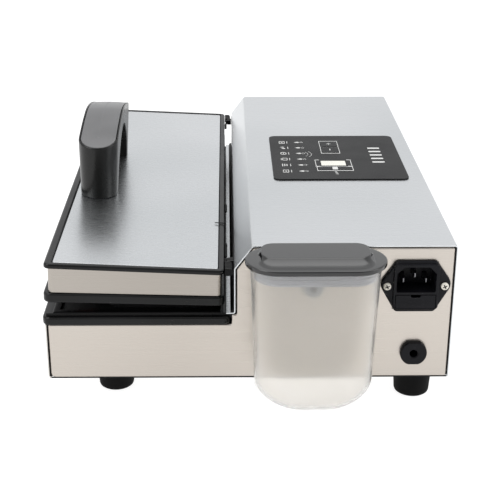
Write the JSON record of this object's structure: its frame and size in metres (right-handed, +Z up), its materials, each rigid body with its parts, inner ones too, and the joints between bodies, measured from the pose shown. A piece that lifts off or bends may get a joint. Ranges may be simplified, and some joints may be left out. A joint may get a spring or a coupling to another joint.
{
  "type": "vacuum chamber sealer",
  "caption": "Countertop vacuum sealer with a hinged lid and arched handle over a vacuum channel, a raised steel housing behind, and a clear liquid container hung on one end.",
  "frame": {"origin": "centre of the whole machine's footprint, at the bottom of its rubber feet", "axes": "+X from the front, where the lid opens, to the back; +Y from the end with the liquid container and power inlet to the far end; +Z up"},
  "size_m": [0.2574, 0.3926, 0.1457],
  "materials": {
    "sheet_steel": "fine brushed",
    "lid_steel": "fine brushed",
    "channel_steel": "satin",
    "trim_plastic": "satin moulded",
    "liner_plastic": "matt moulded",
    "handle_plastic": "semi-gloss moulded",
    "cap_plastic": "satin moulded",
    "hinge_plastic": "satin moulded",
    "foam": "closed-cell foam",
    "cushion_silicone": "matt silicone",
    "foot_rubber": "matt moulded",
    "bar_aluminium": "satin",
    "release_tape": "glass-cloth tape",
    "bright_metal": "bright",
    "panel_film": "satin film",
    "display_lens": "clear",
    "circuit_board": "solder mask",
    "pump_metal": "cast",
    "motor_case": "satin",
    "transformer_core": "varnished",
    "hose_silicone": "translucent",
    "inlet_plastic": "satin moulded",
    "fuse_glass": "clear",
    "spout_plastic": "translucent moulded",
    "clear_plastic": "translucent moulded",
    "seal_silicone": "translucent silicone",
    "container_lid_plastic": "semi-gloss moulded"
  },
  "bodies": {
    "base": {"base_pan": "sheet_steel", "near_end_plate": "sheet_steel", "far_end_plate": "sheet_steel", "housing_cover": "sheet_steel", "vacuum_channel": "channel_steel", "base_trim": "trim_plastic", "deck_plate": "liner_plastic", "hinge_bracket_near": "hinge_plastic", "hinge_bracket_far": "hinge_plastic", "deck_gasket": "foam", "foot_near_front": "foot_rubber", "foot_near_back": "foot_rubber", "foot_far_front": "foot_rubber", "foot_far_back": "foot_rubber", "seal_bar": "bar_aluminium", "release_tape": "release_tape", "heating_strip": "bright_metal", "back_screw_upper": "bright_metal", "back_screw_lower": "bright_metal", "inlet_screw_left": "bright_metal", "inlet_screw_right": "bright_metal", "hinge_pin_near": "bright_metal", "hinge_pin_far": "bright_metal", "line_pin": "bright_metal", "earth_pin": "bright_metal", "neutral_pin": "bright_metal", "control_overlay": "panel_film", "display_window": "display_lens", "control_board": "circuit_board", "vacuum_pump": "pump_metal", "pump_motor": "motor_case", "solenoid_valve": "motor_case", "transformer": "transformer_core", "suction_hose": "hose_silicone", "pump_hose": "hose_silicone", "drain_hose": "hose_silicone", "power_inlet": "inlet_plastic", "accessory_port": "inlet_plastic", "drain_spout": "spout_plastic"},
    "lid": {"lid_band": "lid_steel", "lid_top_plate": "lid_steel", "lid_top_trim": "trim_plastic", "lid_bottom_trim": "trim_plastic", "lid_liner": "liner_plastic", "lid_gasket": "foam", "seal_cushion": "cushion_silicone", "handle_body": "handle_plastic", "handle_cap": "cap_plastic", "handle_screw_near": "bright_metal", "handle_screw_far": "bright_metal", "hinge_arm_near": "hinge_plastic", "hinge_arm_far": "hinge_plastic"},
    "drip_container": {"drip_container": "clear_plastic"},
    "container_lid": {"container_lid": "container_lid_plastic", "container_seal": "seal_silicone"},
    "fuse_drawer": {"fuse_drawer": "inlet_plastic", "fuse": "fuse_glass"},
    "key_more": {"key_more": "panel_film"},
    "key_less": {"key_less": "panel_film"},
    "key_start": {"key_start": "panel_film"}
  },
  "joints": [
    {"name": "lid_hinge", "type": "hinge", "parent": "base", "child": "lid", "pos_m": [-0.01225, 0.01975, 0.09], "axis": [0, 1, 0], "range_deg": [-1.6, 75]},
    {"name": "drip_container_slide", "type": "slide", "parent": "base", "child": "drip_container", "axis": [0, -1, 0], "range_m": [0, 0.08]},
    {"name": "container_lid_lift", "type": "slide", "parent": "drip_container", "child": "container_lid", "axis": [0, 0, 1], "range_m": [0, 0.06]},
    {"name": "fuse_drawer_slide", "type": "slide", "parent": "base", "child": "fuse_drawer", "axis": [0, -1, 0], "range_m": [0, 0.018]},
    {"name": "key_more_press", "type": "slide", "parent": "base", "child": "key_more", "axis": [0, 0, -1], "range_m": [0, 0.0004], "stiffness_N_per_m": 600},
    {"name": "key_less_press", "type": "slide", "parent": "base", "child": "key_less", "axis": [0, 0, -1], "range_m": [0, 0.0004], "stiffness_N_per_m": 600},
    {"name": "key_start_press", "type": "slide", "parent": "base", "child": "key_start", "axis": [0, 0, -1], "range_m": [0, 0.0004], "stiffness_N_per_m": 600}
  ]
}
